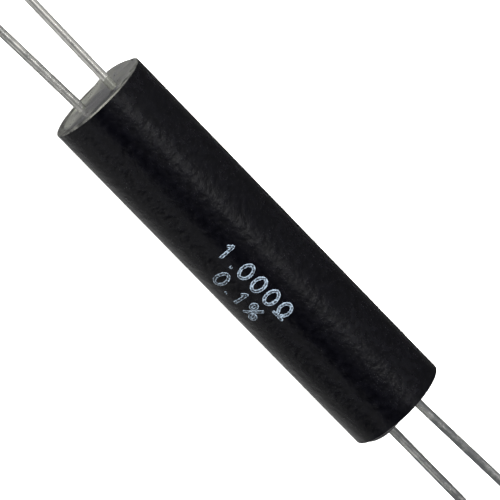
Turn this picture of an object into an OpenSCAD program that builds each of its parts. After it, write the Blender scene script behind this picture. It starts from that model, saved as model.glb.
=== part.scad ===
// Four-terminal axial power resistor with two wire leads at each end.
// X runs along the body, the origin is the middle of its axis, and sizes are in millimetres.
// A ceramic core with a pressed cap on each end carries a winding of resistance ribbon.
// Each cap has a current lead welded to its end and a sense lead welded along its skirt.
// The whole element is sealed with epoxy inside an open-ended moulded shell.

/* [Shell] */
// Outside diameter of the shell
body_d = 12; // [11.4:0.1:15]
// Length of the shell
body_l = 48; // [43:0.5:60]
// Wall of the shell
shell_wall = 1; // [0.7:0.05:1.15]
// Rounding of the shell's outer edges
shell_edge_r = 0.12; // [0.05:0.01:0.3]

/* [Epoxy fill] */
// Depth of the fill's faces below the shell's ends
fill_recess = 0.25; // [0.1:0.01:0.5]
// Rise of the epoxy where it wets the shell's bore
wall_creep = 0.18; // [0.05:0.01:0.4]
// Rise of the epoxy where it wets each lead
lead_creep = 0.5; // [0.2:0.05:0.7]
// Height of the overfilled mound above the shell's left end
left_mound_h = 0.42; // [0.1:0.01:0.6]
// Radius of the left mound at the level of the shell's end
left_mound_r = 3.1; // [2:0.1:4.5]
// Distance of the left mound's middle from the axis
left_mound_offset = 4.5; // [3:0.1:5]
// Direction of the left mound, turned from +Y towards +Z
left_mound_angle = -52; // [-90:1:-20]
// Height of the overfilled mound above the shell's right end
right_mound_h = 0.5; // [0.1:0.01:0.6]
// Radius of the right mound at the level of the shell's end
right_mound_r = 2.9; // [2:0.1:3.5]
// Distance of the right mound's middle from the axis
right_mound_offset = 4.7; // [3.5:0.1:5]
// Direction of the right mound, turned from +Y towards +Z
right_mound_angle = 131; // [120:1:150]
// Bare rim left outside a mound
mound_margin = 0.05; // [0.01:0.01:0.3]

/* [Core and caps] */
// Gap between the sense leads and the shell's bore, from which the core takes its diameter
lead_bore_gap = 0.28; // [0.15:0.01:0.6]
// Length of epoxy between each end of the core and the shell's end
end_cover = 6; // [4:0.5:9]
// Chamfer of the core's ends
core_chamfer = 0.35; // [0.25:0.05:0.6]
// Wall of the pressed end caps
cap_wall = 0.38; // [0.25:0.01:0.45]
// Length of core that each cap covers
cap_cover = 4.6; // [3.5:0.1:6]
// Rounding of the caps' closed ends, outside
cap_corner_r = 0.5; // [0.2:0.05:0.7]

/* [Winding] */
// Width of the resistance ribbon
ribbon_w = 0.9; // [0.5:0.05:1.1]
// Thickness of the resistance ribbon
ribbon_t = 0.2; // [0.1:0.01:0.25]
// Advance of the winding in one turn
wind_pitch = 1.5; // [1.3:0.05:2.4]
// Gap between the ribbon and what it lies on or under
wind_gap = 0.03; // [0.02:0.01:0.06]
// Space between the ribbon and the mouth of each cap
cap_mouth_gap = 0.3; // [0.1:0.05:0.6]
// Part of a turn in which the ribbon climbs to the cap's height
climb_turn = 0.2; // [0.1:0.05:0.4]
// Part of a turn in which the ribbon crosses onto the cap
cross_turn = 0.3; // [0.2:0.05:0.5]
// Part of a turn of ribbon welded down on the cap
tail_turn = 0.35; // [0.2:0.05:0.6]

/* [Leads] */
// Diameter of the tinned wire
lead_d = 1.02; // [0.8:0.01:1.1]
// Reach of the leads beyond the shell's ends
lead_out = 38; // [20:0.5:60]
// Straight length outside the shell before the slight bend
lead_stub = 1; // [0.8:0.1:2]
// Radius of that bend, at the wire's middle
bend_r = 8; // [3:0.5:15]
// Swelling of the wire where it is bent
bend_swell = 0.002; // [0.001:0.001:0.01]
// Chamfer of the cut tips
tip_chamfer = 0.08; // [0.02:0.01:0.2]
// Rise of the weld bead round each current lead
weld_bead = 0.25; // [0.1:0.05:0.4]
// Depth to which a sense lead is sunk where it is welded along the cap
weld_sink = 0.08; // [0.04:0.01:0.12]
// Space between the ribbon's tail and the sense lead's inner end
tail_space = 0.4; // [0.2:0.05:1]
// Place of the current leads' welds across the caps, along Y
current_weld_y = -2.09; // [-2.4:0.01:-1.6]
// Place along Y where the left current lead bends
left_current_y = -2.09; // [-2.4:0.01:-1.6]
// Place along Y where the right current lead bends
right_current_y = -2.29; // [-2.6:0.01:-1.6]
// Place along Y of the left sense lead
left_sense_y = 1.99; // [1.4:0.01:2.6]
// Place along Y of the right sense lead
right_sense_y = 1.81; // [1.4:0.01:2.6]
// Slope of the left current lead beyond its bend, towards +Y
left_current_slope = -2.3; // [-4:0.1:-0.6]
// Slope of the right current lead beyond its bend, towards +Y
right_current_slope = 0; // [-0.4:0.1:1]
// Slope of the left sense lead beyond its bend, towards +Y
left_sense_slope = 0.64; // [0.6:0.01:4]
// Slope of the right sense lead beyond its bend, towards +Y
right_sense_slope = 2.57; // [0.6:0.01:4]

/* [Hidden] */

$fn = 96;
body_r = body_d / 2;
bore_r = body_r - shell_wall;
end_x = body_l / 2;
fill_x = end_x - fill_recess;
creep_at_wall = min(wall_creep, fill_recess);
// Depth to which a risen edge is rooted, and how far its arc stands off as a share of the rise
creep_root = 0.1;
creep_stand = 1.2;

// The sense leads lie between the caps' skirts and the bore
cap_r = bore_r - lead_bore_gap - lead_d + weld_sink;
core_r = cap_r - cap_wall;
core_x = end_x - end_cover;
cap_mouth_x = core_x - cap_cover;
cap_face_x = core_x + cap_wall;

// The ribbon lies at these two heights, on the core and on the caps' skirts
low_r = core_r + wind_gap;
high_r = cap_r + wind_gap;
tail_x = cap_mouth_x + cap_mouth_gap + ribbon_w / 2;
// Turns from the winding's middle to where the ribbon starts to climb, ends its climb and ends
room_turns = (cap_mouth_x - cap_mouth_gap - ribbon_w / 2) / wind_pitch;
climb_start = floor(2 * (room_turns - climb_turn)) / 2;
climb_end = climb_start + climb_turn;
tail_end = climb_end + cross_turn + tail_turn;
steps_per_turn = 32;

lead_r = lead_d / 2;
bend_x = end_x + lead_stub;
tip_x = end_x + lead_out;
// Length by which the straight wire runs on inside the swollen bend
bend_lap = 0.02;
// The current leads are cut from wire that reaches this far into the caps' closed ends
weld_x = cap_face_x - cap_wall / 2;
sense_start_x = tail_x + ribbon_w / 2 + tail_space;
sense_r = cap_r + lead_r - weld_sink;

// Each lead: where its root starts along X, then the root's Y there and at the bend, its Z,
// and its slope beyond the bend, all as on the right end
left_current = [weld_x, current_weld_y, left_current_y, 0, left_current_slope];
right_current = [weld_x, current_weld_y, right_current_y, 0, right_current_slope];
left_sense = seated(left_sense_y, left_sense_slope);
right_sense = seated(right_sense_y, right_sense_slope);

// A sense lead at y, at the height where it lies on the cap's skirt
function seated(y, slope) = [sense_start_x, y, y, sqrt(sense_r * sense_r - y * y), slope];

// Turns a shape drawn along Z so that it lies along X
module along_x() {
    rotate([0, 90, 0]) children();
}

// Rod on the X axis between two places
module rod(x0, x1, r) {
    translate([x0, 0, 0]) along_x() cylinder(r = r, h = x1 - x0);
}

// Profile between two radii, with the two corners at its larger radius rounded
module rounded_profile(r0, r1, half, corner) {
    translate([r0, -half]) square([r1 - r0 - corner, 2 * half]);
    translate([r0, corner - half]) square([r1 - r0, 2 * (half - corner)]);
    for (y = [corner - half, half - corner])
        translate([r1 - corner, y]) circle(r = corner);
}

// Concave edge of liquid that has risen by c up a wall at x = 0 and set there
module risen_edge(c) {
    k = c * creep_stand;
    difference() {
        translate([-creep_root, -creep_root]) square(k + creep_root);
        translate([k, k]) circle(r = norm([k, k - c]));
    }
}

module shell() {
    color("#1d1d1f")
    along_x() rotate_extrude() rounded_profile(bore_r, body_r, end_x, shell_edge_r);
}

// Low dome of epoxy that ran over the rim on one side of the right end
module mound(h, r, offset, angle) {
    dome_r = (r * r + h * h) / (2 * h);
    difference() {
        intersection() {
            translate([end_x + h - dome_r, offset * cos(angle), offset * sin(angle)])
                sphere(r = dome_r);
            rod(fill_x - creep_root, end_x + 2 * h, body_r - shell_edge_r - mound_margin);
        }
        shell();
    }
}

// Fill without what rises above it in places, drawn up at its ends where it wets the bore
module fill_body() {
    top = fill_x + creep_at_wall;
    difference() {
        rod(-top, top, bore_r);
        for (side = [0, 1]) mirror([side, 0, 0]) translate([fill_x, 0, 0]) along_x()
            cylinder(r1 = bore_r - creep_at_wall, r2 = bore_r + creep_at_wall,
                     h = 2 * creep_at_wall);
    }
}

// Epoxy drawn up a lead at the right end, as far as the bore's wall
module risen_epoxy(lead) {
    intersection() {
        on_root(lead, fill_x) rotate_extrude()
            translate([lead_r, 0]) risen_edge(lead_creep);
        rod(0, bend_x, bore_r);
    }
}

// What the fill surrounds: the core, the capped ends, and room for the ribbon
module element_envelope() {
    rod(-cap_mouth_x, cap_mouth_x, low_r + ribbon_t + wind_gap);
    for (side = [0, 1]) mirror([side, 0, 0]) {
        rod(climb_start * wind_pitch - ribbon_w, tail_x + ribbon_w / 2 + wind_gap,
            high_r + ribbon_t + wind_gap);
        cap_outside();
    }
}

module epoxy_fill() {
    color("#3d3d40")
    difference() {
        union() {
            fill_body();
            mirror([1, 0, 0]) {
                risen_epoxy(left_current);
                risen_epoxy(left_sense);
                mound(left_mound_h, left_mound_r, left_mound_offset, left_mound_angle);
            }
            risen_epoxy(right_current);
            risen_epoxy(right_sense);
            mound(right_mound_h, right_mound_r, right_mound_offset, right_mound_angle);
        }
        element_envelope();
        mirror([1, 0, 0]) {
            wire_with_bead(left_current);
            wire(left_sense);
        }
        wire_with_bead(right_current);
        wire(right_sense);
    }
}

module ceramic_core() {
    color("#e9e4d8")
    rotate([0, 90, 0]) {
        cylinder(r = core_r, h = 2 * (core_x - core_chamfer), center = true);
        for (side = [0, 1]) mirror([0, 0, side]) translate([0, 0, core_x - core_chamfer])
            cylinder(r1 = core_r, r2 = core_r - core_chamfer, h = core_chamfer);
    }
}

// Outer form of the right cap, closed through
module cap_outside() {
    rod(cap_mouth_x, cap_face_x - cap_corner_r, cap_r);
    rod(cap_mouth_x, cap_face_x, cap_r - cap_corner_r);
    translate([cap_face_x - cap_corner_r, 0, 0]) along_x() rotate_extrude()
        intersection() {
            translate([cap_r - cap_corner_r, 0]) circle(r = cap_corner_r);
            square([cap_r, cap_corner_r]);
        }
}

// Drawn metal cup pressed on the right end of the core
module end_cap() {
    color("#b4b6b8")
    difference() {
        cap_outside();
        rod(0, core_x, core_r);
    }
}

module end_cap_left() {
    mirror([1, 0, 0]) end_cap();
}

module end_cap_right() {
    end_cap();
}

// Eases from 0 to 1 as t does
function eased(t) = t <= 0 ? 0 : t >= 1 ? 1 : t * t * (3 - 2 * t);

// Place along X and inner radius of the ribbon, u turns from the winding's middle
function ribbon_x(u) = let(a = abs(u))
    sign(u) * (min(a, climb_end) * wind_pitch
               + eased((a - climb_end) / cross_turn) * (tail_x - climb_end * wind_pitch));
function ribbon_r(u) = low_r + eased((abs(u) - climb_start) / climb_turn) * (high_r - low_r);

// Four corners of the ribbon's section, u turns from the winding's middle
function ribbon_section(u) = [
    for (c = [[-1, 0], [1, 0], [1, 1], [-1, 1]])
        let(r = ribbon_r(u) + c[1] * ribbon_t)
        [ribbon_x(u) + c[0] * ribbon_w / 2, r * cos(360 * u), r * sin(360 * u)]
];

module resistance_winding() {
    steps = ceil(2 * tail_end * steps_per_turn);
    sections = [for (i = [0 : steps]) ribbon_section(tail_end * (2 * i / steps - 1))];
    sides = [
        for (i = [0 : steps - 1], k = [0 : 3])
            let(a = 4 * i + k, b = 4 * i + (k + 1) % 4)
            each [[a, a + 4, b], [b, a + 4, b + 4]]
    ];
    last = 4 * steps;
    ends = [[0, 1, 2, 3], [last + 3, last + 2, last + 1, last]];
    color("#a8917a")
    polyhedron(points = [for (s = sections) each s], faces = concat(sides, ends));
}

// Slope of a lead's root
function root_slope(lead) = atan((lead[2] - lead[1]) / (bend_x - lead[0]));

// Places what is drawn along Z on a lead's root, at x
module on_root(lead, x) {
    slope = root_slope(lead);
    translate([bend_x, lead[2], lead[3]]) rotate([0, 0, slope]) along_x()
        translate([0, 0, (x - bend_x) / cos(slope)]) children();
}

// Wire at the right end: a straight root, a bend, and the rest at its slope
module wire(lead) {
    slope = root_slope(lead);
    turn = lead[4] - slope;
    flip = turn < 0 ? 1 : 0;
    arc_x = bend_r * sin(abs(turn));
    arc_y = bend_r * (1 - cos(turn)) * sign(turn);
    far_x = bend_x + arc_x * cos(slope) - arc_y * sin(slope);
    far_l = (tip_x - far_x) / cos(lead[4]);
    on_root(lead, lead[0]) cylinder(r = lead_r, h = (bend_x - lead[0]) / cos(slope) + bend_lap);
    translate([bend_x, lead[2], lead[3]]) rotate([0, 0, slope]) {
        mirror([0, flip, 0]) translate([0, bend_r, 0]) rotate([0, 0, -90])
            rotate_extrude(angle = abs(turn)) translate([bend_r, 0])
                circle(r = lead_r + bend_swell);
        translate([arc_x, arc_y, 0]) rotate([0, 0, turn]) {
            rod(-bend_lap, far_l - tip_chamfer, lead_r);
            translate([far_l - tip_chamfer, 0, 0]) along_x()
                cylinder(r1 = lead_r, r2 = lead_r - tip_chamfer, h = tip_chamfer);
        }
    }
}

// Wire with the bead of its weld round it, both reaching into the right cap
module wire_with_bead(lead) {
    wire(lead);
    on_root(lead, cap_face_x) rotate_extrude() translate([lead_r, 0]) risen_edge(weld_bead);
}

// Lead welded end-on to the right cap
module current_lead(lead) {
    color("#c6c7c6")
    difference() {
        wire_with_bead(lead);
        cap_outside();
    }
}

// Lead laid along the right cap's skirt, with the hollow that its weld leaves in it
module sense_lead(lead) {
    color("#c6c7c6")
    difference() {
        wire(lead);
        cap_outside();
    }
}

module current_lead_left() {
    mirror([1, 0, 0]) current_lead(left_current);
}

module sense_lead_left() {
    mirror([1, 0, 0]) sense_lead(left_sense);
}

module current_lead_right() {
    current_lead(right_current);
}

module sense_lead_right() {
    sense_lead(right_sense);
}

shell();
epoxy_fill();
ceramic_core();
end_cap_left();
end_cap_right();
resistance_winding();
current_lead_left();
sense_lead_left();
current_lead_right();
sense_lead_right();
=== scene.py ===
# Potted power resistor with two tinned leads at each end, dressed round its CAD frame.
# X runs along the body to its right end, Y across it, Z up from the table. Sizes are in millimetres
# in the dictionaries and become metres where a mesh is finished.
import math

import bmesh
import bpy
from mathutils import Matrix, Vector, noise


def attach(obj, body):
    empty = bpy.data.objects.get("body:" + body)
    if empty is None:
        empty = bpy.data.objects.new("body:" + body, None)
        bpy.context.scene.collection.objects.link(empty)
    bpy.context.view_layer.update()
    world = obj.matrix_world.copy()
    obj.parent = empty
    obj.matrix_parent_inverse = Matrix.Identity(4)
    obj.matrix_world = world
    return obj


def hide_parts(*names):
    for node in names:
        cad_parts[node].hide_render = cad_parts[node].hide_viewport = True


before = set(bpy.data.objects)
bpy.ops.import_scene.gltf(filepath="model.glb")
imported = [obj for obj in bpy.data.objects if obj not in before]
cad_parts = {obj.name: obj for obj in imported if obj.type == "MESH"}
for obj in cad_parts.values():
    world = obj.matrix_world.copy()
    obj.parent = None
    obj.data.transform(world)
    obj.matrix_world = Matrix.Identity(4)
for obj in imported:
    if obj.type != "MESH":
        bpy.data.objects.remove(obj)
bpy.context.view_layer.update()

print("frame loaded:", len(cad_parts), "parts")

mm = 0.001
perMm = 1000.0                      # texture scale that repeats once a millimetre
noiseLow, noiseHigh = 0.35, 0.65    # nearly all of a noise texture lies between these
noise.seed_set(1)                   # noise vectors follow the clock unless they are seeded


def linear(hexColour):
    # sRGB hex to linear RGBA
    parts = [int(hexColour[i:i + 2], 16) / 255 for i in (1, 3, 5)]
    return [c / 12.92 if c <= 0.04045 else ((c + 0.055) / 1.055) ** 2.4 for c in parts] + [1.0]


def addNode(tree, kind, sockets=None, **settings):
    # A socket's value is either a constant or the output that feeds it
    node = tree.nodes.new(kind)
    for name, value in settings.items():
        setattr(node, name, value)
    for name, value in (sockets or {}).items():
        if isinstance(value, bpy.types.NodeSocket):
            tree.links.new(value, node.inputs[name])
        else:
            node.inputs[name].default_value = value
    return node


def startMaterial(name):
    material = bpy.data.materials.new(name)
    material.use_nodes = True
    material.node_tree.nodes.clear()
    return material, material.node_tree


def finishMaterial(tree, shader):
    addNode(tree, "ShaderNodeOutputMaterial", {"Surface": shader.outputs["BSDF"]})


def setStops(ramp, stops):
    # Stops are (place, colour or grey value)
    elements = ramp.color_ramp.elements
    while len(elements) < len(stops):
        elements.new(0.5)
    for element, (place, value) in zip(elements, stops):
        element.position = place
        element.color = linear(value) if isinstance(value, str) else (value, value, value, 1)


def spotShare(tree, coords, spot, edge, easing, shift=0):
    # How much of an oval spot lies on a point: its whole share inside, none past its soft edge
    scale = [1 / (size * mm) for size in spot["size"]]
    location = [-(m + shift) * mm * f for m, f in zip(spot["middle"], scale)]
    placed = addNode(tree, "ShaderNodeMapping", {
        "Vector": coords, "Location": location, "Scale": scale})
    far = addNode(tree, "ShaderNodeVectorMath", {0: placed.outputs["Vector"]}, operation="LENGTH")
    share = addNode(tree, "ShaderNodeMapRange", {
        "Value": far.outputs["Value"], "From Min": edge[0], "From Max": edge[1],
        "To Min": spot["share"], "To Max": 0.0}, interpolation_type=easing)
    return share.outputs["Result"]


def spinSection(bm, section, steps, merge):
    # A full turn about X of an outline of (x, radius) points
    points = [bm.verts.new((x, 0, r)) for x, r in section]
    edges = [bm.edges.new(pair) for pair in zip(points, points[1:])]
    bmesh.ops.spin(bm, geom=points + edges, cent=(0, 0, 0), axis=(1, 0, 0),
                   angle=math.tau, steps=steps, use_merge=True)
    bmesh.ops.remove_doubles(bm, verts=bm.verts, dist=merge)


def finishMesh(bm, name, material, body="root"):
    # Millimetres to metres, then an object at the origin that rides on its body
    bmesh.ops.scale(bm, vec=(mm, mm, mm), verts=bm.verts)
    mesh = bpy.data.meshes.new(name)
    bm.to_mesh(mesh)
    bm.free()
    mesh.polygons.foreach_set("use_smooth", [True] * len(mesh.polygons))
    mesh.materials.append(material)
    piece = bpy.data.objects.new(name, mesh)
    bpy.context.scene.collection.objects.link(piece)
    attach(piece, body)
    return piece


def dressNode(node, material):
    # A CAD node keeps its mesh and takes a better material
    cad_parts[node].material_slots[0].material = material


# The camera looks down on the body and leans towards its left end, as the photo was taken
cameraPlace = {
    "lean": 13.62,        # degrees from straight above, towards the left end
    "roll": 45.77,        # degrees that the body is turned in the picture
    "distance": 513.0,
    "lens": 339.6,
    "shiftX": 0.0030,
    "shiftY": 0.0045,
    "nearest": 10.0,      # nothing closer is drawn, and nothing past the farthest
    "farthest": 20000.0,
}

lean = math.radians(cameraPlace["lean"])
roll = math.radians(cameraPlace["roll"])
towardsCamera = Vector((-math.sin(lean), 0, math.cos(lean)))
along = Vector((math.cos(lean), 0, math.sin(lean)))
across = towardsCamera.cross(along)
pictureRight = math.cos(roll) * along + math.sin(roll) * across
pictureUp = towardsCamera.cross(pictureRight)
turned = Matrix((pictureRight, pictureUp, towardsCamera)).transposed().to_4x4()
cameraData = bpy.data.cameras.new("camera")
cameraData.lens = cameraPlace["lens"]
cameraData.shift_x = cameraPlace["shiftX"]
cameraData.shift_y = cameraPlace["shiftY"]
cameraData.clip_start = cameraPlace["nearest"] * mm
cameraData.clip_end = cameraPlace["farthest"] * mm
camera = bpy.data.objects.new("camera", cameraData)
bpy.context.scene.collection.objects.link(camera)
camera.matrix_world = Matrix.Translation(towardsCamera * cameraPlace["distance"] * mm) @ turned
bpy.context.scene.camera = camera
bpy.context.scene.view_settings.view_transform = "Standard"
print("camera placed")


# The shell is the CAD's own, in black phenolic
shell = {
    "black": "#010102",
    "filler": "#030305",
    "dust": "#0b0b0c",         # stray specks of pale dust in the skin
    "dustPitch": 2.6,          # mm between them
    "cut": "#141413",          # the sawn and sanded ends show the filler
    "cutFiller": "#54544f",
    "cutX": (23.93, 23.99),    # the skin ends between these
    "cutMottle": 0.55,         # share of the mottle in the cut's pattern, the rest is grit
    "cutRoughness": 0.6,
    "roughness": 0.25,
    "roughSpread": 0.1,
    "mottle": 0.75,            # mm, patches of filler under the skin
    "grit": 0.16,              # mm
    "gritShare": 0.12,         # of the relief
    "broad": 6.0,              # mm, slow changes in the gloss
    "relief": 0.085,
    # Painted highlight on the left rim: a pale patch at its near side, where the rim's edge catches
    # the light
    "rimHighlight": {"colour": "#6e6e66", "middle": (-24.0, 0.3, 5.76), "size": (1.5, 3.0, 0.6),
              "share": 0.75},
    "rimHighlightEdge": (0.6, 1.3),
}


def mouldedPhenolic(finish):
    # Transfer moulded: satin, with a fine mottle where the resin flowed over its filler
    material, tree = startMaterial("mouldedPhenolic")
    coords = addNode(tree, "ShaderNodeTexCoord").outputs["Object"]
    mottle = addNode(tree, "ShaderNodeTexNoise", {
        "Vector": coords, "Scale": perMm / finish["mottle"], "Detail": 2.0, "Roughness": 0.5})
    grit = addNode(tree, "ShaderNodeTexNoise", {
        "Vector": coords, "Scale": perMm / finish["grit"], "Detail": 2.0, "Roughness": 0.6})
    broad = addNode(tree, "ShaderNodeTexNoise", {
        "Vector": coords, "Scale": perMm / finish["broad"], "Detail": 2.0, "Roughness": 0.5})
    colour = addNode(tree, "ShaderNodeValToRGB", {"Fac": mottle.outputs["Fac"]})
    setStops(colour, [(0.35, finish["black"]), (0.72, finish["filler"])])
    specks = addNode(tree, "ShaderNodeTexVoronoi", {
        "Vector": coords, "Scale": perMm / finish["dustPitch"]})
    speckMask = addNode(tree, "ShaderNodeValToRGB", {"Fac": specks.outputs["Distance"]})
    setStops(speckMask, [(0.02, 1.0), (0.045, 0.0)])
    dusted = addNode(tree, "ShaderNodeMix", {
        "Factor": speckMask.outputs["Color"], "A": colour.outputs["Color"],
        "B": linear(finish["dust"])}, data_type="RGBA")
    # The ends are sawn to length, so their skin is gone
    place = addNode(tree, "ShaderNodeSeparateXYZ", {"Vector": coords})
    fromMiddle = addNode(tree, "ShaderNodeMath", {0: place.outputs["X"]}, operation="ABSOLUTE")
    sawn = addNode(tree, "ShaderNodeMapRange", {
        "Value": fromMiddle.outputs[0], "From Min": finish["cutX"][0] * mm,
        "From Max": finish["cutX"][1] * mm})
    sanded = addNode(tree, "ShaderNodeMix", {
        "Factor": finish["cutMottle"], "A": grit.outputs["Fac"], "B": mottle.outputs["Fac"]})
    flour = addNode(tree, "ShaderNodeValToRGB", {"Fac": sanded.outputs["Result"]})
    setStops(flour, [(0.44, finish["cut"]), (0.6, finish["cutFiller"])])
    # The painted rim highlight is mixed into the colour of the sawn end
    rimLit = addNode(tree, "ShaderNodeMix", {
        "Factor": spotShare(tree, coords, finish["rimHighlight"], finish["rimHighlightEdge"], "LINEAR"),
        "A": flour.outputs["Color"], "B": linear(finish["rimHighlight"]["colour"])}, data_type="RGBA")
    ended = addNode(tree, "ShaderNodeMix", {
        "Factor": sawn.outputs["Result"], "A": dusted.outputs["Result"],
        "B": rimLit.outputs["Result"]}, data_type="RGBA")
    # The gloss follows the mottle and the broad noise together
    mixed = addNode(tree, "ShaderNodeMath", {0: mottle.outputs["Fac"], 1: broad.outputs["Fac"]},
                    operation="ADD")
    rough = addNode(tree, "ShaderNodeMapRange", {
        "Value": mixed.outputs[0], "From Min": 2 * noiseLow, "From Max": 2 * noiseHigh,
        "To Min": finish["roughness"] - finish["roughSpread"] / 2,
        "To Max": finish["roughness"] + finish["roughSpread"] / 2})
    roughEnded = addNode(tree, "ShaderNodeMix", {
        "Factor": sawn.outputs["Result"], "A": rough.outputs["Result"],
        "B": finish["cutRoughness"]})
    height = addNode(tree, "ShaderNodeMix", {
        "Factor": finish["gritShare"], "A": mottle.outputs["Fac"], "B": grit.outputs["Fac"]})
    relief = addNode(tree, "ShaderNodeBump", {
        "Height": height.outputs["Result"], "Distance": finish["relief"] * mm, "Strength": 1.0})
    shader = addNode(tree, "ShaderNodeBsdfPrincipled", {
        "Base Color": ended.outputs["Result"], "Roughness": roughEnded.outputs["Result"],
        "Normal": relief.outputs["Normal"], "IOR": 1.5})
    finishMaterial(tree, shader)
    return material


dressNode("shell", mouldedPhenolic(shell))
print("shell finished")


# The leads run as in the CAD, with the slight bows that handling leaves in soft wire
leads = {
    "radius": 0.51,
    "bendX": 25.0,
    "bendRadius": 8.0,
    "tipX": 62.0,
    "capFace": 18.38,         # a current lead stands on its cap's face
    "capRadius": 3.78,        # a sense lead lies along its cap's skirt
    "bead": 0.25,             # rise of the weld at a current lead's foot
    "sides": 40,
    "step": 0.35,             # between the rings of points along the wire
    "waveLength": 9.0,        # faint waves in the drawn and dipped wire
    "waveHeight": 0.006,
    "cutLength": 0.1,
    # Outline of the cut tip: X from the tip, and radius from the wire's
    "cutOutline": [(-0.09, 0.0), (-0.03, -0.02), (-0.005, -0.08), (-0.02, -0.25)],
    "cutDish": 0.03,
    # For each lead: side of the body, X and Y of its root, Y at the bend, Z, slope past the bend in
    # degrees, bow, X that the film of epoxy climbed to, and shine above or below the others',
    # partly painted shade
    "routes": {
        "current_lead_left": {
            "side": -1, "startX": 18.19, "weldY": -2.09, "bendY": -2.09, "z": 0.0,
            "slope": -2.3, "bow": 0.04, "filmX": 24.3, "shineAndShade": 0.0},
        "sense_lead_left": {
            "side": -1, "startX": 15.0, "weldY": 1.99, "bendY": 1.99, "z": 3.7098,
            "slope": 0.64, "bow": -0.03, "filmX": 25.7, "shineAndShade": 0.13},
        "current_lead_right": {
            "side": 1, "startX": 18.19, "weldY": -2.09, "bendY": -2.29, "z": 0.0,
            "slope": 0.0, "bow": 0.03, "filmX": 24.1, "shineAndShade": -0.1},
        "sense_lead_right": {
            "side": 1, "startX": 15.0, "weldY": 1.81, "bendY": 1.81, "z": 3.8009,
            "slope": 2.57, "bow": -0.045, "filmX": 24.1, "shineAndShade": -0.12},
    },
    "bright": "#fbfaf4",
    "dull": "#848687",
    "roughness": 0.25,
    "roughSpread": 0.14,
    "metal": 0.93,            # the oxide skin scatters the rest
    "oxide": 0.12,            # how much of its per-wire value a wire adds to that
    "streak": 0.34,           # mm across the wire
    "streakLength": 14.0,     # mm along it
    "patch": 0.9,
    "patchShare": 0.45,       # of the pattern, the rest is streaks
    "grain": 0.12,
    "grainShare": 0.01,       # of the relief
    "relief": 0.018,
    "film": "#84857e",        # thin epoxy film next to the fill
    "filmMetal": 0.8,
    "filmRagged": 0.4,        # how far the film's end wanders
    "filmFade": 0.15,
}


def leadMiddle(x, route):
    # Y of the wire's middle at x, on the right end: root, bend, then the straight run with its bow
    rootSlope = (route["bendY"] - route["weldY"]) / (leads["bendX"] - route["startX"])
    past = x - leads["bendX"]
    if past <= 0:
        return route["bendY"] + past * rootSlope
    endSlope = math.tan(math.radians(route["slope"]))
    turnBy = endSlope - rootSlope
    bendLength = leads["bendRadius"] * abs(turnBy)
    if past < bendLength:
        return route["bendY"] + rootSlope * past + turnBy * past ** 2 / (2 * bendLength)
    run = leads["tipX"] - leads["bendX"]
    straight = route["bendY"] + endSlope * past - turnBy * bendLength / 2
    return straight + route["bow"] * math.sin(math.pi * past / run)


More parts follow.
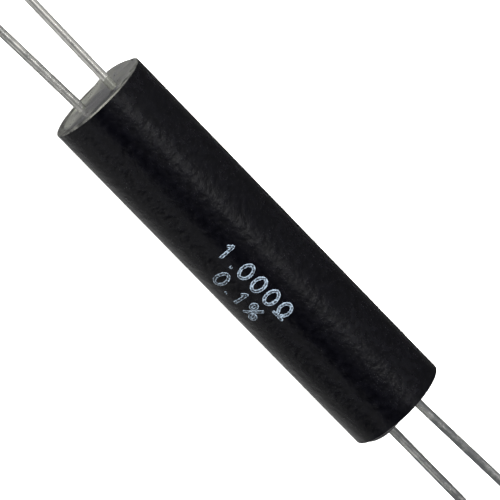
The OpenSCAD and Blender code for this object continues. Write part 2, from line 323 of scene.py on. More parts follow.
def tinnedCopper(finish):
    # Hot dipped after drawing: bright and streaky along the wire, dull where epoxy wet it
    material, tree = startMaterial("tinnedCopper")
    # The unbent attribute holds each point as it was before the wire was bent
    unbent = addNode(tree, "ShaderNodeAttribute", attribute_name="unbent").outputs["Vector"]
    lengthwise = addNode(tree, "ShaderNodeMapping", {
        "Vector": unbent, "Scale": (finish["streak"] / finish["streakLength"], 1, 1)})
    streak = addNode(tree, "ShaderNodeTexNoise", {
        "Vector": lengthwise.outputs["Vector"], "Scale": perMm / finish["streak"],
        "Detail": 1.5, "Roughness": 0.5})
    patches = addNode(tree, "ShaderNodeTexNoise", {
        "Vector": unbent, "Scale": perMm / finish["patch"], "Detail": 3.0, "Roughness": 0.6})
    grains = addNode(tree, "ShaderNodeTexNoise", {
        "Vector": unbent, "Scale": perMm / finish["grain"], "Detail": 2.0, "Roughness": 0.5})
    both = addNode(tree, "ShaderNodeMix", {
        "Factor": finish["patchShare"], "A": streak.outputs["Fac"], "B": patches.outputs["Fac"]})
    # Some wires have a thicker skin of oxide than others; the same value also paints shade,
    # darkening the colour of the right end's wires where the light falls off
    shineAndShade = addNode(tree, "ShaderNodeAttribute", attribute_name="shineAndShade").outputs["Fac"]
    shone = addNode(tree, "ShaderNodeMath", {0: both.outputs["Result"], 1: shineAndShade},
                    operation="ADD")
    # Painted shade: the per-wire value shifts this colour, so the right end's wires come out darker
    colour = addNode(tree, "ShaderNodeValToRGB", {"Fac": shone.outputs[0]})
    setStops(colour, [(0.36, finish["dull"]), (0.62, finish["bright"])])
    rough = addNode(tree, "ShaderNodeMapRange", {
        "Value": shone.outputs[0], "From Min": noiseLow, "From Max": noiseHigh,
        "To Min": finish["roughness"] + finish["roughSpread"] / 2,
        "To Max": finish["roughness"] - finish["roughSpread"] / 2})
    # Film of epoxy that climbed the wire, with a ragged end
    pastFilm = addNode(tree, "ShaderNodeAttribute", attribute_name="pastFilm").outputs["Fac"]
    ragged = addNode(tree, "ShaderNodeMapRange", {
        "Value": patches.outputs["Fac"], "From Min": 0.3, "From Max": 0.7,
        "To Min": -finish["filmRagged"], "To Max": finish["filmRagged"]})
    edge = addNode(tree, "ShaderNodeMath", {0: pastFilm, 1: ragged.outputs["Result"]},
                   operation="ADD")
    film = addNode(tree, "ShaderNodeMapRange", {
        "Value": edge.outputs[0], "From Min": -finish["filmFade"],
        "From Max": finish["filmFade"], "To Min": 1.0, "To Max": 0.0})
    filmed = addNode(tree, "ShaderNodeMix", {
        "Factor": film.outputs["Result"], "A": colour.outputs["Color"],
        "B": linear(finish["film"])}, data_type="RGBA")
    oxide = addNode(tree, "ShaderNodeMath", {0: shineAndShade, 1: finish["oxide"], 2: finish["metal"]},
                    operation="MULTIPLY_ADD")
    metal = addNode(tree, "ShaderNodeMapRange", {
        "Value": film.outputs["Result"], "To Min": oxide.outputs[0],
        "To Max": finish["filmMetal"]})
    height = addNode(tree, "ShaderNodeMix", {
        "Factor": finish["grainShare"], "A": streak.outputs["Fac"], "B": grains.outputs["Fac"]})
    relief = addNode(tree, "ShaderNodeBump", {
        "Height": height.outputs["Result"], "Distance": finish["relief"] * mm, "Strength": 0.8})
    shader = addNode(tree, "ShaderNodeBsdfPrincipled", {
        "Base Color": filmed.outputs["Result"], "Metallic": metal.outputs["Result"],
        "Roughness": rough.outputs["Result"], "Normal": relief.outputs["Normal"]})
    finishMaterial(tree, shader)
    return material


def makeLead(name, route, material):
    bm = bmesh.new()
    unbent = bm.verts.layers.float_vector.new("unbent")
    pastFilm = bm.verts.layers.float.new("pastFilm")
    shineAndShade = bm.verts.layers.float.new("shineAndShade")
    radius, bead = leads["radius"], leads["bead"]
    start, tip, face = route["startX"], leads["tipX"], leads["capFace"]
    # Profile of the straight wire, from the middle of its inner end to the middle of its cut tip
    profile = [(start, 0), (start, radius)]
    if route["z"] == 0:
        # A current lead stands on the cap's face in a bead of weld
        turns = [math.radians(15 * i) for i in range(7)]
        profile = [(face, 0)] + [
            (face + bead * (1 - math.cos(t)), radius + bead * (1 - math.sin(t))) for t in turns]
        start = face + bead
    count = round((tip - start) / leads["step"]) - 1
    run = tip - start - leads["cutLength"]
    profile += [(start + run * i / count, radius) for i in range(1, count)]
    profile += [(tip + x, radius + r) for x, r in leads["cutOutline"]]
    profile.append((tip - leads["cutDish"], 0))
    spinSection(bm, profile, leads["sides"], 1e-4)
    # No two leads share their waves or their streaks
    seed = Vector((0, route["bendY"] * 7, route["z"] * 5))
    for v in bm.verts:
        v[unbent] = Vector((route["side"] * v.co.x, v.co.y + 3 * route["bendY"], v.co.z)) * mm
        v[pastFilm] = v.co.x - route["filmX"]
        v[shineAndShade] = route["shineAndShade"]
        # Faint waves left by drawing and dipping, then the wire's own route
        wave = noise.noise(Vector((v.co.x / leads["waveLength"] * 2, v.co.y, v.co.z)) + seed)
        swell = 1 + wave * leads["waveHeight"] / radius
        y, z = v.co.y * swell, v.co.z * swell
        v.co = Vector((route["side"] * v.co.x, y + leadMiddle(v.co.x, route), z + route["z"]))
        # A sense lead is pressed flat where it is welded along the cap's skirt
        fromAxis = math.hypot(v.co.y, v.co.z)
        if abs(v.co.x) < face - 0.01 and fromAxis < leads["capRadius"]:
            v.co.yz *= leads["capRadius"] / fromAxis
    bmesh.ops.recalc_face_normals(bm, faces=bm.faces)
    piece = finishMesh(bm, name + "_wire", material)
    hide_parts(name)


tin = tinnedCopper(leads)
for leadName, leadRoute in leads["routes"].items():
    makeLead(leadName, leadRoute, tin)
print("leads made:", len(leads["routes"]))


# The epoxy was poured in, sank a little as it set, was drawn up wherever it wets, and ran over the
# rim at one side of each end
fill = {
    "faceX": 23.75,
    "rimX": 24.0,
    "bore": 5.0,
    "rimEdge": 5.84,          # a mound stops short of the shell's rounded edge
    "rimGap": 0.002,          # between the rim and the epoxy on it
    "wallShort": 0.01,        # elsewhere the epoxy stays this far below the rim
    "wallRise": 0.2,
    "wallReach": 0.25,        # how far in from the wall the rise dies away
    "leadRise": 0.2,
    "leadReach": 0.3,
    "rippleHeight": 0.035,
    "rippleLength": 2.2,
    # Domes of overfill at each end: a peak over the rim, and at the left a low pool that joins it
    "mounds": {
        -1: [{"height": 0.42, "radius": 3.1, "offset": 4.5, "angle": -52},
             {"height": 0.05, "radius": 3.3, "offset": 2.9, "angle": 2}],
        1: [{"height": 0.5, "radius": 2.9, "offset": 4.7, "angle": 131}],
    },
    "moundBlend": 0.1,        # how softly the domes run into each other
    "pourBlend": 0.12,        # and into the level epoxy
    "lumpHeight": 0.05,
    "lumpLength": 1.6,
    "turns": 384,
    "rings": 84,
    "ringCrowding": 1.25,     # above 1 the rings stand closer together at the wall
    "rimRings": 9,
    "boreRings": (0.5, 6, 15),    # depths below the face
    # Half outline, x and radius, of the hollow round the core, the winding and the caps
    "hollow": [(11.1, 3.66), (11.1, 4.04), (14.63, 4.04), (14.63, 3.78), (17.88, 3.78),
               (18.07, 3.742), (18.234, 3.634), (18.342, 3.471), (18.38, 3.28), (18.38, 0)],
    "hollowTurns": 96,
    "dark": "#38383a",
    "pale": "#4d4d48",
    "roughness": 0.36,
    "roughSpread": 0.2,
    "patch": 1.3,
    "grain": 0.24,
    "grainShare": 0.45,
    "relief": 0.02,
    "wander": 1.2,            # mm that noise bends the outlines of the painted patches by
    # Painted shade and painted light on the end faces: dark patches where the near wall shades the
    # sunken epoxy, pale ones along the far side, where the light falls full on it
    "shadeAndLightPatches": [
        {"colour": "#2c2b2f", "middle": (-24, 0.2, 1.6), "size": (3, 2.3, 3.6), "share": 0.75},
        {"colour": "#1b1a1d", "middle": (-24, -3.5, 2.2), "size": (3, 1.8, 1.7), "share": 0.8},
        {"colour": "#6a6b62", "middle": (-24, -0.6, -3.6), "size": (3, 3.6, 1.5), "share": 0.6},
        {"colour": "#62635b", "middle": (-24, -3.9, -1.2), "size": (3, 1.1, 1.9), "share": 0.5},
        {"colour": "#333331", "middle": (24.4, -3.1, 3.6), "size": (3, 4.0, 4.0), "share": 0.8},
    ],
    "shadeAndLightEdge": (0.6, 1.15),
    "clear": "#121214",       # painted shade along the upper side of the bore, where the wall shades the sunken epoxy
    "wallShadeDrop": 0.9,         # how far below the bore's edge it reaches at the top
    "wallShadeRadius": (4.9, 5.25),
    "wallShadeZ": (1.5, 4.0),
    "wallShadeY": (2.2, 3.0),     # it ends between these
}


def softMax(a, b, blend):
    # The higher of two surfaces, eased into each other where they cross
    gap = max(blend - abs(a - b), 0) / blend
    return max(a, b) + gap * gap * blend / 4


def moundHeight(y, z, side):
    # Height of the domes above the fill's face, falling below 0 well outside them
    rim = fill["rimX"] - fill["faceX"]
    spot = Vector((y / fill["lumpLength"], z / fill["lumpLength"], side * 5.0))
    lumpy = fill["lumpHeight"] * noise.noise(spot)
    height = -1.0
    for mound in fill["mounds"][side]:
        angle = math.radians(mound["angle"])
        far = math.hypot(y - mound["offset"] * math.cos(angle),
                         z - mound["offset"] * math.sin(angle))
        curve = (mound["radius"] ** 2 + mound["height"] ** 2) / (2 * mound["height"])
        dome = rim + mound["height"] - curve + math.sqrt(max(curve ** 2 - far ** 2, 0))
        height = softMax(height, dome, fill["moundBlend"])
    return height + lumpy


def fillHeight(y, z, side):
    # Height of the set epoxy above the level that it was poured to
    spot = Vector((y / fill["rippleLength"], z / fill["rippleLength"], side * 3.0))
    ripple = fill["rippleHeight"] * noise.noise(spot)
    height = softMax(moundHeight(y, z, side), ripple, fill["pourBlend"])
    # The rise at the wall fades out where the epoxy stands level with the rim
    inFromWall = max(fill["bore"] - math.hypot(y, z), 0)
    below = min(max(1 - height / (fill["rimX"] - fill["faceX"]), 0), 1)
    height += fill["wallRise"] * below * math.exp(-inFromWall / fill["wallReach"])
    for route in leads["routes"].values():
        if route["side"] == side:
            away = math.hypot(y - route["bendY"], z - route["z"]) - leads["radius"]
            height += fill["leadRise"] * math.exp(-max(away, 0) / fill["leadReach"])
    return height


def moundReach(angle, side):
    # How far from the axis the epoxy lies on the rim in this direction
    y, z = math.cos(angle), math.sin(angle)
    rim = fill["rimX"] - fill["faceX"]
    low, high = fill["bore"], fill["rimEdge"]
    if moundHeight(low * y, low * z, side) <= rim:
        return low
    if moundHeight(high * y, high * z, side) > rim:
        return high
    for _ in range(20):
        middle = (low + high) / 2
        if moundHeight(middle * y, middle * z, side) > rim:
            low = middle
        else:
            high = middle
    return low


def makeFill(material):
    bore, face, rim = fill["bore"], fill["faceX"], fill["rimX"]
    rings, rimRings = fill["rings"], fill["rimRings"]
    bm = bmesh.new()
    # Half section: a face from the axis to the bore, out over the rim and back, then the bore. The
    # rings of the upper side over the rim start 1 mm above it, which tells them from the lower.
    inner = [(face, bore * (1 - (1 - i / rings) ** fill["ringCrowding"]))
             for i in range(rings + 1)]
    over = [(rim + 1, bore + (i + 1) / rimRings) for i in range(rimRings)]
    under = [(rim, bore + 1 - (i + 1) / rimRings) for i in range(rimRings)]
    half = inner + over + under + [(face - depth, bore) for depth in fill["boreRings"]]
    section = half + [(-x, r) for x, r in reversed(half)]
    spinSection(bm, section, fill["turns"], 1e-5)
    for v in bm.verts:
        side = 1 if v.co.x > 0 else -1
        x, y, z = abs(v.co.x), v.co.y, v.co.z
        r = math.hypot(y, z)
        if x < face - 0.1:
            continue
        if r <= bore + 1e-4 and x < rim - 0.01:
            height = fillHeight(y, z, side)
            if r > bore - 1e-4 and moundHeight(y, z, side) <= rim - face:
                height = min(height, rim - face - fill["wallShort"])
            v.co.x = side * (face + height)
            continue
        # Rings over the rim close up to the bore where the epoxy stayed inside it
        angle = math.atan2(z, y)
        cy, cz = math.cos(angle), math.sin(angle)
        reach = moundReach(angle, side)
        share = min(max(r - bore, 0), 1)
        newR = bore + share * (reach - bore)
        if reach <= bore:
            wallTop = fillHeight(bore * cy, bore * cz, side)
            newX = face + min(wallTop, rim - face - fill["wallShort"])
        elif x > rim + 0.5:
            lie = max(fillHeight(newR * cy, newR * cz, side) - (rim - face), 0)
            newX = rim + 2 * fill["rimGap"] + lie * math.sqrt(max(1 - share ** 3, 0))
        else:
            newX = rim + fill["rimGap"]
        v.co = Vector((side * newX, newR * cy, newR * cz))
    bmesh.ops.remove_doubles(bm, verts=bm.verts, dist=2e-4)
    bmesh.ops.dissolve_degenerate(bm, edges=bm.edges, dist=2e-4)
    bmesh.ops.recalc_face_normals(bm, faces=bm.faces)
    # The hollow's faces look inwards
    outside = set(bm.faces)
    hollow = [(-x, r) for x, r in reversed(fill["hollow"])] + fill["hollow"]
    spinSection(bm, hollow, fill["hollowTurns"], 1e-5)
    inside = [f for f in bm.faces if f not in outside]
    bmesh.ops.recalc_face_normals(bm, faces=inside)
    bmesh.ops.reverse_faces(bm, faces=inside)
    piece = finishMesh(bm, "epoxy_pour", material)
    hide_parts("epoxy_fill")


def pouredEpoxy(finish):
    # Casting epoxy, filled with mineral flour and poured: grey, soft gloss, with patches of painted
    # shade and painted light
    material, tree = startMaterial("pouredEpoxy")
    coords = addNode(tree, "ShaderNodeTexCoord").outputs["Object"]
    patch = addNode(tree, "ShaderNodeTexNoise", {
        "Vector": coords, "Scale": perMm / finish["patch"], "Detail": 4.0, "Roughness": 0.6})
    grain = addNode(tree, "ShaderNodeTexNoise", {
        "Vector": coords, "Scale": perMm / finish["grain"], "Detail": 2.0, "Roughness": 0.55})
    both = addNode(tree, "ShaderNodeMix", {
        "Factor": finish["grainShare"], "A": patch.outputs["Fac"], "B": grain.outputs["Fac"]})
    colour = addNode(tree, "ShaderNodeValToRGB", {"Fac": both.outputs["Result"]})
    setStops(colour, [(0.42, finish["dark"]), (0.58, finish["pale"])])
    tint = colour.outputs["Color"]
    wander = addNode(tree, "ShaderNodeVectorMath", {
        0: patch.outputs["Color"], 1: [finish["wander"] * mm] * 3}, operation="MULTIPLY")
    wandered = addNode(tree, "ShaderNodeVectorMath", {0: coords, 1: wander.outputs["Vector"]},
                       operation="ADD").outputs["Vector"]
    # Each patch paints shade or light: a darker or paler colour mixed over the epoxy's own
    for pool in finish["shadeAndLightPatches"]:
        # The noise that bends the outline averages half of its full reach
        share = spotShare(tree, wandered, pool, finish["shadeAndLightEdge"], "SMOOTHSTEP",
                          finish["wander"] / 2)
        patchShaded = addNode(tree, "ShaderNodeMix", {
            "Factor": share, "A": tint, "B": linear(pool["colour"])}, data_type="RGBA")
        tint = patchShaded.outputs["Result"]
    # Painted shade: a dark band against the bore along the upper side, where the wall shades the
    # epoxy below the rim
    place = addNode(tree, "ShaderNodeSeparateXYZ", {"Vector": wandered})
    lowered = addNode(tree, "ShaderNodeMath", {
        0: place.outputs["Z"], 1: finish["wallShadeDrop"] * mm}, operation="ADD")
    inPlane = addNode(tree, "ShaderNodeCombineXYZ", {
        "Y": place.outputs["Y"], "Z": lowered.outputs[0]})
    fromAxis = addNode(tree, "ShaderNodeVectorMath", {0: inPlane.outputs["Vector"]},
                       operation="LENGTH")
    nearWall = addNode(tree, "ShaderNodeMapRange", {
        "Value": fromAxis.outputs["Value"], "From Min": finish["wallShadeRadius"][0] * mm,
        "From Max": finish["wallShadeRadius"][1] * mm})
    upperSide = addNode(tree, "ShaderNodeMapRange", {
        "Value": place.outputs["Z"], "From Min": finish["wallShadeZ"][0] * mm,
        "From Max": finish["wallShadeZ"][1] * mm})
    pooledSide = addNode(tree, "ShaderNodeMapRange", {
        "Value": place.outputs["Y"], "From Min": finish["wallShadeY"][0] * mm,
        "From Max": finish["wallShadeY"][1] * mm, "To Min": 1.0, "To Max": 0.0})
    upperWall = addNode(tree, "ShaderNodeMath", {
        0: pooledSide.outputs["Result"], 1: upperSide.outputs["Result"]}, operation="MULTIPLY")
    wallShare = addNode(tree, "ShaderNodeMath", {
        0: nearWall.outputs["Result"], 1: upperWall.outputs[0]}, operation="MULTIPLY")
    wallShaded = addNode(tree, "ShaderNodeMix", {
        "Factor": wallShare.outputs[0], "A": tint, "B": linear(finish["clear"])},
        data_type="RGBA")
    rough = addNode(tree, "ShaderNodeMapRange", {
        "Value": both.outputs["Result"], "From Min": noiseLow, "From Max": noiseHigh,
        "To Min": finish["roughness"] - finish["roughSpread"] / 2,
        "To Max": finish["roughness"] + finish["roughSpread"] / 2})
    relief = addNode(tree, "ShaderNodeBump", {
        "Height": both.outputs["Result"], "Distance": finish["relief"] * mm, "Strength": 0.8})
    shader = addNode(tree, "ShaderNodeBsdfPrincipled", {
        "Base Color": wallShaded.outputs["Result"], "Roughness": rough.outputs["Result"],
        "Normal": relief.outputs["Normal"], "IOR": 1.55})
    finishMaterial(tree, shader)
    return material


makeFill(pouredEpoxy(fill))
print("epoxy fill made")


# Value and tolerance in a single-stroke hand, stamped round the shell
marking = {
    "shellRadius": 6.0,
    "stroke": 0.36,
    "penRow": (-1, -0.6, 0, 0.6, 1),    # points across the pen's half width
    "step": 0.07,
    "ragged": 0.06,
    "raggedPerMm": 7,
    "lift": 0.008,
    "thickness": 0.016,
    "unevenPerMm": 3,
    "backing": 0.05,          # down into the shell
    "dotPitch": 0.55,         # a dot takes this share of a sign's pitch
    # Top and foot of the signs are degrees round the shell from its top, towards the near side
    "lines": [
        {"text": "1.000O", "startX": -3.75, "pitch": 2.0, "width": 1.3,
         "top": 7.0, "foot": 25.0, "ink": 0.0},
        {"text": "0.1%", "startX": -1.6, "pitch": 1.95, "width": 1.2,
         "top": 33.5, "foot": 54.0, "ink": -0.15},
    ],
    "thick": "#68747f",
    "thin": "#363e47",
    "bare": "#050506",
    "roughness": 0.5,
    "blotch": 0.22,
    "gather": 1.6,            # how sharply the ink gathers at a stroke's edges
    "relief": 0.01,
}


def arc(cx, cy, rx, ry, start, end, count):
    turns = [math.radians(start + (end - start) * i / count) for i in range(count + 1)]
    return [(cx + rx * math.cos(t), cy + ry * math.sin(t)) for t in turns]


# Pen strokes of each sign in a box one wide and one high. O stands for the ohm sign.
signs = {
    "0": [arc(0.5, 0.5, 0.46, 0.5, 90, 450, 36)],
    "1": [[(0.22, 0.78), (0.55, 1.0), (0.55, 0.0)]],
    ".": [[(0.2, 0.0), (0.2, 0.05)]],
    "O": [[(0.02, 0.0), (0.34, 0.0)] + arc(0.5, 0.57, 0.45, 0.43, 244, -64, 34)
          + [(0.66, 0.0), (0.98, 0.0)]],
    "%": [[(0.1, 0.02), (1.08, 0.98)], arc(0.2, 0.78, 0.24, 0.2, 0, 360, 20),
          arc(0.98, 0.22, 0.24, 0.2, 0, 360, 20)],
}


def evenSteps(path, step):
    # The same path with its points a step apart
    out = [Vector(path[0])]
    for a, b in zip(path, path[1:]):
        a, b = Vector(a), Vector(b)
        count = max(1, round((b - a).length / step))
        out += [a.lerp(b, (i + 1) / count) for i in range(count)]
    return out


def drawStroke(bm, path, acrossLayer):
    # A row of points across the pen's width is drawn out along the path
    half = marking["stroke"] / 2
    last = len(path) - 1
    row = [bm.verts.new((path[0].x, path[0].y + half * s, 0)) for s in marking["penRow"]]
    for v, s in zip(row, marking["penRow"]):
        v[acrossLayer] = s
    edges = [bm.edges.new(pair) for pair in zip(row, row[1:])]
    heading = math.atan2(path[1].y - path[0].y, path[1].x - path[0].x)
    bmesh.ops.rotate(bm, verts=row, cent=path[0].to_3d(),
                     matrix=Matrix.Rotation(heading, 3, "Z"))
    for i in range(1, last + 1):
        made = bmesh.ops.extrude_edge_only(bm, edges=edges)["geom"]
        row = [g for g in made if isinstance(g, bmesh.types.BMVert)]
        edges = [g for g in made if isinstance(g, bmesh.types.BMEdge)]
        bmesh.ops.translate(bm, verts=row, vec=(path[i] - path[i - 1]).to_3d())
        if i < last:
            ahead = path[i + 1] - path[i - 1]
            bend = (math.atan2(ahead.y, ahead.x) - heading + math.pi) % math.tau - math.pi
            bmesh.ops.rotate(bm, verts=row, cent=path[i].to_3d(),
                             matrix=Matrix.Rotation(bend, 3, "Z"))
            heading += bend
    if (path[0] - path[-1]).length >= 1e-4:
        roundEnds(bm, path, half)


def roundEnds(bm, path, half):
    # The row of points at each end of an open stroke draws out to a half circle
    for end, inner in ((path[0], path[1]), (path[-1], path[-2])):
        direction = (end - inner).normalized()
        for v in bm.verts:
            offset = v.co.to_2d() - end
            forward = offset.dot(direction)
            side = offset - forward * direction
            if offset.length < half * 1.05 and abs(forward) < 1e-4:
                bulge = math.sqrt(max(half ** 2 - side.length ** 2, 0))
                v.co = v.co + (direction * bulge).to_3d()


def makeMarking(material):
    bm = bmesh.new()
    bm.verts.layers.float.new("across")
    bm.verts.layers.float.new("ink")
    for line in marking["lines"]:
        arcLength = math.radians(line["foot"] - line["top"]) * marking["shellRadius"]
        foot = -math.radians(line["foot"]) * marking["shellRadius"]
        left = line["startX"]
        for sign in line["text"]:
            for stroke in signs[sign]:
                sized = [(left + x * line["width"], foot + y * arcLength) for x, y in stroke]
                strokeMesh = bmesh.new()
                acrossLayer = strokeMesh.verts.layers.float.new("across")
                inkLayer = strokeMesh.verts.layers.float.new("ink")
                drawStroke(strokeMesh, evenSteps(sized, marking["step"]), acrossLayer)
                for v in strokeMesh.verts:
                    v[inkLayer] = line["ink"]
                joined = bpy.data.meshes.new("stroke")
                strokeMesh.to_mesh(joined)
                strokeMesh.free()
                bm.from_mesh(joined)
                bpy.data.meshes.remove(joined)
            left += line["pitch"] * (marking["dotPitch"] if sign == "." else 1.0)
    # Round the shell: y along the arc becomes an angle from the top
    acrossLayer = bm.verts.layers.float["across"]
    for v in bm.verts:
        crown = 1 - v[acrossLayer] ** 2
        scale = marking["unevenPerMm"]
        uneven = 0.5 + 0.5 * noise.noise(Vector((v.co.x * scale, v.co.y * scale, 0)))
        radius = marking["shellRadius"] + marking["lift"] + marking["thickness"] * crown * uneven
        ragged = noise.noise_vector(v.co * marking["raggedPerMm"]) * marking["ragged"]
        angle = (v.co.y + ragged.y) / marking["shellRadius"]
        v.co = Vector((v.co.x + ragged.x, radius * math.sin(angle), radius * math.cos(angle)))
    bmesh.ops.recalc_face_normals(bm, faces=bm.faces)
    piece = finishMesh(bm, "value_marking", material)
    backing = piece.modifiers.new("backing", "SOLIDIFY")
    backing.thickness = marking["backing"] * mm
    backing.offset = -1


def stampedInk(finish):
    # Epoxy based and baked: bluish white, thick at the stroke's edges, thin inside
    material, tree = startMaterial("stampedInk")
    coords = addNode(tree, "ShaderNodeTexCoord").outputs["Object"]
    blotch = addNode(tree, "ShaderNodeTexNoise", {
        "Vector": coords, "Scale": perMm / finish["blotch"], "Detail": 3.0, "Roughness": 0.65})
    fromPen = addNode(tree, "ShaderNodeAttribute", attribute_name="across").outputs["Fac"]
    offset = addNode(tree, "ShaderNodeMath", {0: fromPen}, operation="ABSOLUTE")
    rimmed = addNode(tree, "ShaderNodeMath", {0: offset.outputs[0], 1: finish["gather"]},
                     operation="POWER")
    patchy = addNode(tree, "ShaderNodeMapRange", {
        "Value": blotch.outputs["Fac"], "From Min": 0.3, "From Max": 0.7,
        "To Min": -0.7, "To Max": 0.6}, clamp=False)
    ink = addNode(tree, "ShaderNodeAttribute", attribute_name="ink").outputs["Fac"]
    uneven = addNode(tree, "ShaderNodeMath", {0: ink, 1: patchy.outputs["Result"]},
                     operation="ADD")
    cover = addNode(tree, "ShaderNodeMath", {0: rimmed.outputs[0], 1: uneven.outputs[0]},
                    operation="ADD")
    colour = addNode(tree, "ShaderNodeValToRGB", {"Fac": cover.outputs[0]})
    setStops(colour, [(0.0, finish["bare"]), (0.16, finish["thin"]), (0.62, finish["thick"])])
    relief = addNode(tree, "ShaderNodeBump", {
        "Height": blotch.outputs["Fac"], "Distance": finish["relief"] * mm, "Strength": 0.5})
    shader = addNode(tree, "ShaderNodeBsdfPrincipled", {
        "Base Color": colour.outputs["Color"], "Roughness": finish["roughness"],
        "Normal": relief.outputs["Normal"]})
    finishMaterial(tree, shader)
    return material


makeMarking(stampedInk(marking))
print("marking made")


# The sealed parts are never seen, but are finished as the real ones are. Steatite ceramic, pressed
# and fired, unglazed: chalky with a fine grain.
core = {"dark": "#dcd6c6", "light": "#f0ebde", "grain": 0.2, "relief": 0.01, "roughness": 0.75}
# Cap steel, drawn and nickel plated: fine draw lines along the axis
caps = {"dark": "#a9a69c", "light": "#c6c3b8", "grain": 0.1, "stretch": 0.05,
        "smooth": 0.22, "rough": 0.4}
# Copper-manganese alloy, rolled to a ribbon: warm grey brown, with a faint heat tint
winding = {"dark": "#9a7f66", "light": "#b89f86", "grain": 2.5, "stretch": 1.0,
           "smooth": 0.28, "rough": 0.42}


def firedSteatite(finish):
    material, tree = startMaterial("firedSteatite")
    coords = addNode(tree, "ShaderNodeTexCoord").outputs["Object"]
    grain = addNode(tree, "ShaderNodeTexNoise", {
        "Vector": coords, "Scale": perMm / finish["grain"], "Detail": 4.0, "Roughness": 0.6})
    colour = addNode(tree, "ShaderNodeValToRGB", {"Fac": grain.outputs["Fac"]})
    setStops(colour, [(noiseLow, finish["dark"]), (noiseHigh, finish["light"])])
    relief = addNode(tree, "ShaderNodeBump", {
        "Height": grain.outputs["Fac"], "Distance": finish["relief"] * mm, "Strength": 0.6})
    shader = addNode(tree, "ShaderNodeBsdfPrincipled", {
        "Base Color": colour.outputs["Color"], "Roughness": finish["roughness"],
        "Normal": relief.outputs["Normal"]})
    finishMaterial(tree, shader)
    return material


def workedMetal(name, finish):
    # Marks of drawing or rolling, which run on along the axis
    material, tree = startMaterial(name)
    coords = addNode(tree, "ShaderNodeTexCoord").outputs["Object"]
    lengthwise = addNode(tree, "ShaderNodeMapping", {
        "Vector": coords, "Scale": (finish["stretch"], 1, 1)})
    marks = addNode(tree, "ShaderNodeTexNoise", {
        "Vector": lengthwise.outputs["Vector"], "Scale": perMm / finish["grain"], "Detail": 3.0})
    colour = addNode(tree, "ShaderNodeValToRGB", {"Fac": marks.outputs["Fac"]})
    setStops(colour, [(noiseLow, finish["dark"]), (noiseHigh, finish["light"])])
    rough = addNode(tree, "ShaderNodeMapRange", {
        "Value": marks.outputs["Fac"], "To Min": finish["smooth"], "To Max": finish["rough"]})
    shader = addNode(tree, "ShaderNodeBsdfPrincipled", {
        "Base Color": colour.outputs["Color"], "Metallic": 1.0,
        "Roughness": rough.outputs["Result"]})
    finishMaterial(tree, shader)
    return material


plated = workedMetal("nickelPlatedSteel", caps)
dressNode("ceramic_core", firedSteatite(core))
dressNode("end_cap_left", plated)
dressNode("end_cap_right", plated)
dressNode("resistance_winding", workedMetal("rolledCopperManganese", winding))
print("sealed parts finished")


# The lamps brighten the table and the fill's face. What shines on the parts comes from the rooms,
# each a ramp of (place, brightness) by the turn about the body's axis: 0 and 1 are straight down,
# 0.25 is the near side, 0.5 straight up.
studio = {
    "tableZ": -6.0,
    "tableHalf": 1500.0,
    "table": "#ececea",
    "tableCloud": "#f0f0ee",
    "cloud": 40,              # mm
    "backdrop": "#f2f2f1",
    "lamps": {
        "key": {"place": (-120, 340, 560), "target": (-10, 0, 0), "side": 300, "watts": 8},
        "topLeft": {"place": (-500, -500, 900), "target": (0, 0, 0), "side": 800, "watts": 26},
        "topRight": {"place": (500, 500, 900), "target": (0, 0, 0), "side": 800, "watts": 26},
    },
    # The bright band over the far side is the studio's long window, dimmer to the right
    "roomLeft": [
        (0.0, 0.3), (0.1, 0.3), (0.2, 0.14), (0.255, 0.36), (0.36, 0.26), (0.385, 0.2),
        (0.402, 0.0), (0.45, 0.0), (0.5, 0.13), (0.55, 0.22), (0.568, 1.2), (0.59, 0.9),
        (0.62, 0.3), (0.66, 0.2), (0.72, 0.17), (0.85, 0.06), (1.0, 0.1)],
    "roomRight": [
        (0.0, 0.4), (0.12, 0.42), (0.2, 0.26), (0.27, 0.0), (0.3, 0.02), (0.355, 0.24),
        (0.385, 0.15), (0.402, 0.0), (0.46, 0.0), (0.5, 0.05), (0.55, 0.07), (0.57, 0.17),
        (0.59, 0.13), (0.62, 0.09), (0.66, 0.09), (0.74, 0.08), (0.85, 0.04), (1.0, 0.1)],
    "leftToRight": (0.185, 0.25),    # X of the directions where the left room gives way
    # Seen only by a camera that stands elsewhere: a soft window on each side
    "roomBeyond": [
        (0.0, 0.3), (0.22, 0.35), (0.3, 1.3), (0.37, 1.3), (0.43, 0.3), (0.5, 0.25),
        (0.57, 0.3), (0.63, 1.3), (0.7, 1.3), (0.78, 0.35), (1.0, 0.3)],
    "mirroredX": 0.235,              # X of what the photo's camera sees in the body's side
    "viewToBeyond": (0.37, 0.5),     # difference from it where the room beyond takes over
}


def whiteLaminate():
    # Pressed: almost even, matt
    material, tree = startMaterial("whiteLaminate")
    coords = addNode(tree, "ShaderNodeTexCoord").outputs["Object"]
    cloud = addNode(tree, "ShaderNodeTexNoise", {
        "Vector": coords, "Scale": perMm / studio["cloud"], "Detail": 2.0})
    colour = addNode(tree, "ShaderNodeValToRGB", {"Fac": cloud.outputs["Fac"]})
    setStops(colour, [(0.3, studio["table"]), (0.7, studio["tableCloud"])])
    shader = addNode(tree, "ShaderNodeBsdfPrincipled", {
        "Base Color": colour.outputs["Color"], "Roughness": 0.8})
    finishMaterial(tree, shader)
    return material


def makeTable(material):
    bm = bmesh.new()
    bmesh.ops.create_grid(bm, x_segments=8, y_segments=8, size=studio["tableHalf"] * mm)
    bmesh.ops.translate(bm, verts=bm.verts, vec=(0, 0, studio["tableZ"] * mm))
    mesh = bpy.data.meshes.new("table")
    bm.to_mesh(mesh)
    bm.free()
    mesh.materials.append(material)
    table = bpy.data.objects.new("table", mesh)
    bpy.context.scene.collection.objects.link(table)
    table.visible_glossy = False


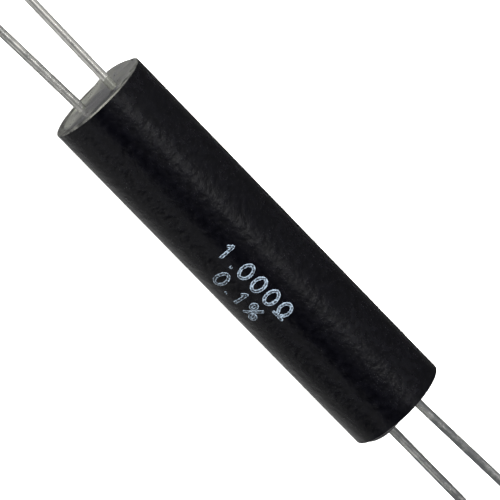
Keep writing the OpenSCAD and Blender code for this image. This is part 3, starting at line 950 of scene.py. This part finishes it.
def addLamp(name, place, target, side, watts):
    light = bpy.data.lights.new(name, "AREA")
    light.shape = "RECTANGLE"
    light.size = light.size_y = side * mm
    light.energy = watts
    lamp = bpy.data.objects.new(name, light)
    bpy.context.scene.collection.objects.link(lamp)
    place, target = Vector(place) * mm, Vector(target) * mm
    lamp.location = place
    lamp.rotation_euler = (target - place).to_track_quat("-Z", "Y").to_euler()
    lamp.visible_glossy = False


def makeSurroundings():
    world = bpy.data.worlds.new("studio")
    bpy.context.scene.world = world
    world.use_nodes = True
    tree = world.node_tree
    tree.nodes.clear()
    direction = addNode(tree, "ShaderNodeTexCoord").outputs["Generated"]
    part = addNode(tree, "ShaderNodeSeparateXYZ", {"Vector": direction})
    turnAngle = addNode(tree, "ShaderNodeMath", {0: part.outputs["Y"], 1: part.outputs["Z"]},
                        operation="ARCTAN2")
    share = addNode(tree, "ShaderNodeMapRange", {
        "Value": turnAngle.outputs[0], "From Min": -math.pi, "From Max": math.pi})
    rightward = addNode(tree, "ShaderNodeMapRange", {
        "Value": part.outputs["X"], "From Min": studio["leftToRight"][0],
        "From Max": studio["leftToRight"][1]})
    fromView = addNode(tree, "ShaderNodeMath", {0: part.outputs["X"], 1: studio["mirroredX"]},
                       operation="SUBTRACT")
    aside = addNode(tree, "ShaderNodeMath", {0: fromView.outputs[0]}, operation="ABSOLUTE")
    beyond = addNode(tree, "ShaderNodeMapRange", {
        "Value": aside.outputs[0], "From Min": studio["viewToBeyond"][0],
        "From Max": studio["viewToBeyond"][1]})
    colours = {}
    for room in ("roomLeft", "roomRight", "roomBeyond"):
        ramp = addNode(tree, "ShaderNodeValToRGB", {"Fac": share.outputs["Result"]})
        setStops(ramp, studio[room])
        colours[room] = ramp.outputs["Color"]
    inView = addNode(tree, "ShaderNodeMix", {
        "Factor": rightward.outputs["Result"], "A": colours["roomLeft"],
        "B": colours["roomRight"]}, data_type="RGBA")
    allRooms = addNode(tree, "ShaderNodeMix", {
        "Factor": beyond.outputs["Result"], "A": inView.outputs["Result"],
        "B": colours["roomBeyond"]}, data_type="RGBA")
    # The camera itself sees a plain backdrop
    seen = addNode(tree, "ShaderNodeLightPath").outputs["Is Camera Ray"]
    mirrored = addNode(tree, "ShaderNodeBackground", {"Color": allRooms.outputs["Result"]})
    plain = addNode(tree, "ShaderNodeBackground", {"Color": linear(studio["backdrop"])})
    chosen = addNode(tree, "ShaderNodeMixShader", {
        0: seen, 1: mirrored.outputs[0], 2: plain.outputs[0]})
    addNode(tree, "ShaderNodeOutputWorld", {"Surface": chosen.outputs[0]})


makeTable(whiteLaminate())
for lampName, lamp in studio["lamps"].items():
    addLamp(lampName, **lamp)
makeSurroundings()
print("studio lit")
